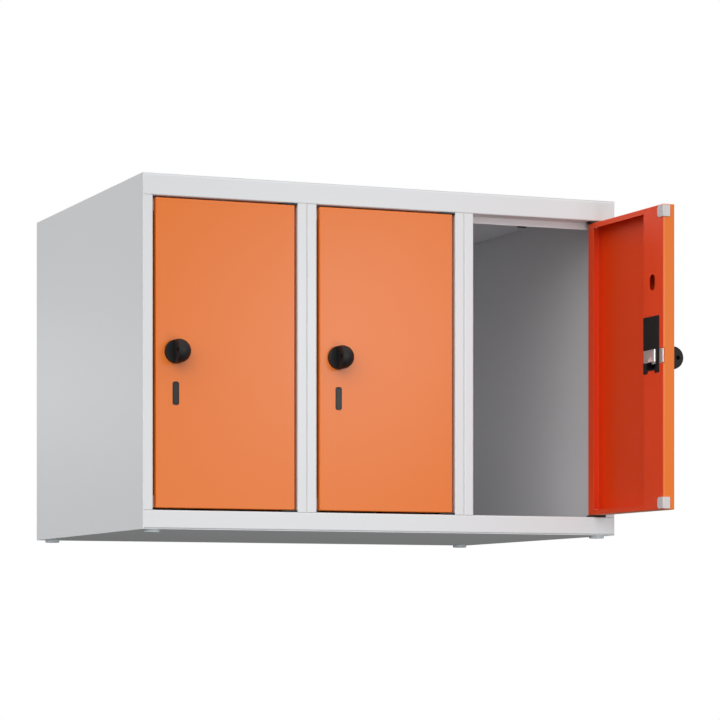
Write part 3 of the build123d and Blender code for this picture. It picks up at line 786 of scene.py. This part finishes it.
class LOCKER_OT_make_locks(bpy.types.Operator):
    """Makes the plated thumb bolts and their moulded cases"""
    bl_idname = "locker.make_locks"
    bl_label = "Make the locks"

    def execute(self, context):
        finish = context.scene.locker_finish
        sizes = context.scene.locker_fittings
        bright = plated_metal("bright_plate", BRIGHT, 0.38, 0.04, DRAWN_UPRIGHT)
        black = moulded_plastic("black_lock_case", finish.black, 0.5, specular=0.25)
        for door in DOORS:
            bolt = bolt_mesh()
            bmesh.ops.transform(bolt, matrix=DOOR_FRAMES[door].matrix, verts=bolt.verts)
            piece = finished_object(
                f"{door}_thumb_bolt", bolt, bright, f"{door}_bolt", f"{door}_door_bolt",
            )
            soften(piece, sizes.metal_round)
            case = case_mesh()
            bmesh.ops.transform(case, matrix=DOOR_FRAMES[door].matrix, verts=case.verts)
            piece = finished_object(
                f"{door}_lock_case", case, black, f"{door}_door",
                f"{door}_door_lock_body",
            )
            soften(piece, sizes.plastic_round)
        return {"FINISHED"}


class LOCKER_OT_make_knobs(bpy.types.Operator):
    """Makes the padlock grip knobs"""
    bl_idname = "locker.make_knobs"
    bl_label = "Make the knobs"

    def execute(self, context):
        finish = context.scene.locker_finish
        rounding = context.scene.locker_fittings.knob_round
        material = moulded_plastic("black_knob_moulding", finish.black, 0.52, 0.1, specular=0.25)
        for door in DOORS:
            bm = knob_mesh()
            place = DOOR_FRAMES[door].matrix @ Matrix.Translation(KNOB_PLACE)
            bmesh.ops.transform(bm, matrix=place, verts=bm.verts)
            piece = finished_object(
                f"{door}_grip_knob", bm, material, f"{door}_knob",
                f"{door}_door_knob",
            )
            soften(piece, rounding)
        return {"FINISHED"}


class LOCKER_OT_make_tablets(bpy.types.Operator):
    """Makes the blank number tablets"""
    bl_idname = "locker.make_tablets"
    bl_label = "Make the number tablets"

    def execute(self, context):
        finish = context.scene.locker_finish
        material = moulded_plastic("black_tablet_moulding", finish.black, 0.42, 0.1, specular=0.3)
        for door in DOORS:
            bm = tablet_mesh()
            bmesh.ops.transform(bm, matrix=DOOR_FRAMES[door].matrix, verts=bm.verts)
            piece = finished_object(
                f"{door}_number_tablet", bm, material, f"{door}_door",
                f"{door}_door_number_insert",
            )
            soften(piece, TABLET_ROUND)
        return {"FINISHED"}


class LOCKER_OT_set_stage(bpy.types.Operator):
    """Sets the floor, the soft light and the photograph's camera"""
    bl_idname = "locker.set_stage"
    bl_label = "Set the stage"

    def execute(self, context):
        stage = context.scene.locker_stage
        make_floor(stage)
        make_light(context.scene, stage)
        make_camera(context.scene)
        return {"FINISHED"}


# Stage

FLOOR_RADIUS = 6.0
WHITE = (1.0, 1.0, 1.0, 1.0)
# Broad lights from afar: the side that they come from, how narrow they are, their level
SOFT_LIGHTS = (
    ((-0.5, -0.7, 0.3), 6, 2.17),
    ((0.0, 0.0, 1.0), 1, 1.24),
    ((1.0, 0.0, 0.0), 1, 0.33),
    ((0.0, 1.0, 0.0), 1, 0.22),
)
# Lamps: name, place, aim, width, watts, and whether they only make the coat's broad gloss
LAMPS = (
    ("low_front", (0.3, -2.6, -0.6), (0.0, -0.25, 0.25), 1.2, 14.2, False),
    ("left", (-2.2, 0.2, 0.1), (-0.375, 0.0, 0.25), 1.0, 5.2, False),
    ("front_gloss", (0.408, -1.341, 0.41), (0.0, -0.25, 0.25), 0.3, 4.0, True),
    ("left_gloss", (-0.85, 1.4, 0.35), (0.0, 0.0, 0.25), 0.3, 0.41, True),
)


def make_floor(stage):
    """Pale floor that the locker below would stand on; it casts no light or shadow on the unit."""
    bm = bmesh.new()
    place = Matrix.Translation((0, 0, -stage.floor_drop))
    bmesh.ops.create_circle(bm, cap_ends=True, radius=FLOOR_RADIUS, segments=64, matrix=place)
    mesh = bpy.data.meshes.new("floor")
    bm.to_mesh(mesh)
    bm.free()
    material, shader = new_material("pale_floor")
    grain = shader.noise(shader.place(), 30.0, 3.0)
    base = shader.shaded((0.8, 0.8, 0.8, 1.0), grain * 0.04 + 0.97)
    shader.surface(Base_Color=base, Roughness=0.7)
    mesh.materials.append(material)
    floor = bpy.data.objects.new("floor", mesh)
    bpy.context.scene.collection.objects.link(floor)
    floor.visible_diffuse = False
    floor.visible_glossy = False
    floor.visible_shadow = False


def make_light(scene, stage):
    """White surroundings, broad soft lights from afar and four lamps close by."""
    world = bpy.data.worlds.new("studio")
    world.use_nodes = True
    scene.world = world
    shader = Shader(world.node_tree)
    towards = shader.node("ShaderNodeTexCoord")
    level = 0.0
    for direction, focus, strength in SOFT_LIGHTS:
        facing = shader.facing(towards, Vector(direction).normalized()).at_least(0.0)
        level = level + facing.to_the(focus) * (strength * stage.soft)
    soft = shader.node("ShaderNodeBackground", {}, {"Color": WHITE, "Strength": level})
    plain = shader.node("ShaderNodeBackground", {}, {"Color": WHITE, "Strength": 1.0})
    seen = shader.node("ShaderNodeLightPath")
    both = shader.node("ShaderNodeMixShader", {}, {0: seen, 1: soft, 2: plain})
    shader.node("ShaderNodeOutputWorld", {}, {"Surface": both})
    for name, place, aim, width, watts, gloss_only in LAMPS:
        light = bpy.data.lights.new(name, "AREA")
        light.energy = watts * stage.lamps
        light.shape = "DISK"
        light.size = width
        lamp = bpy.data.objects.new(name, light)
        lamp.location = place
        lamp.rotation_euler = (Vector(aim) - lamp.location).to_track_quat("-Z", "Y").to_euler()
        lamp.visible_camera = False
        lamp.visible_diffuse = not gloss_only
        scene.collection.objects.link(lamp)


def make_camera(scene):
    """The photograph's camera, with its axis left of and below the middle of the picture."""
    data = bpy.data.cameras.new("photo_camera")
    data.sensor_width = SENSOR
    data.lens = FOCAL_PX / PHOTO_SIZE * SENSOR
    data.shift_x = 0.5 - AXIS_U / PHOTO_SIZE
    data.shift_y = HORIZON_V / PHOTO_SIZE - 0.5
    camera = bpy.data.objects.new("photo_camera", data)
    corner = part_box("side_panel_left")[0]
    camera.location = corner + CAMERA_FROM_CORNER
    camera.rotation_euler = (pi / 2, 0, -CAMERA_YAW)
    scene.collection.objects.link(camera)
    scene.camera = camera


OPERATORS = (
    LOCKER_OT_coat_carcass,
    LOCKER_OT_coat_doors,
    LOCKER_OT_fit_plastics,
    LOCKER_OT_fit_metal,
    LOCKER_OT_make_locks,
    LOCKER_OT_make_knobs,
    LOCKER_OT_make_tablets,
    LOCKER_OT_set_stage,
)
GROUPS = {
    "locker_finish": LockerFinish,
    "locker_fittings": LockerFittings,
    "locker_stage": LockerStage,
}


class LOCKER_PT_looks(bpy.types.Panel):
    """Sizes and colours, and a button for each group of pieces"""
    bl_label = "Locker unit"
    bl_idname = "LOCKER_PT_looks"
    bl_space_type = "VIEW_3D"
    bl_region_type = "UI"
    bl_category = "Locker"

    def draw(self, context):
        for name in GROUPS:
            box = self.layout.box()
            group = getattr(context.scene, name)
            for prop in group.bl_rna.properties.keys():
                if prop not in ("rna_type", "name"):
                    box.prop(group, prop)
        for operator in OPERATORS:
            self.layout.operator(operator.bl_idname)


def register():
    for made in (*GROUPS.values(), *OPERATORS, LOCKER_PT_looks):
        bpy.utils.register_class(made)
    for name, group in GROUPS.items():
        setattr(bpy.types.Scene, name, PointerProperty(type=group))


def unregister():
    for name in GROUPS:
        delattr(bpy.types.Scene, name)
    for made in reversed((*GROUPS.values(), *OPERATORS, LOCKER_PT_looks)):
        bpy.utils.unregister_class(made)


def main():
    register()
    bpy.context.scene.view_settings.view_transform = "Standard"
    for operator in OPERATORS:
        group, name = operator.bl_idname.split(".")
        getattr(getattr(bpy.ops, group), name)()


if __name__ == "__main__":
    main()
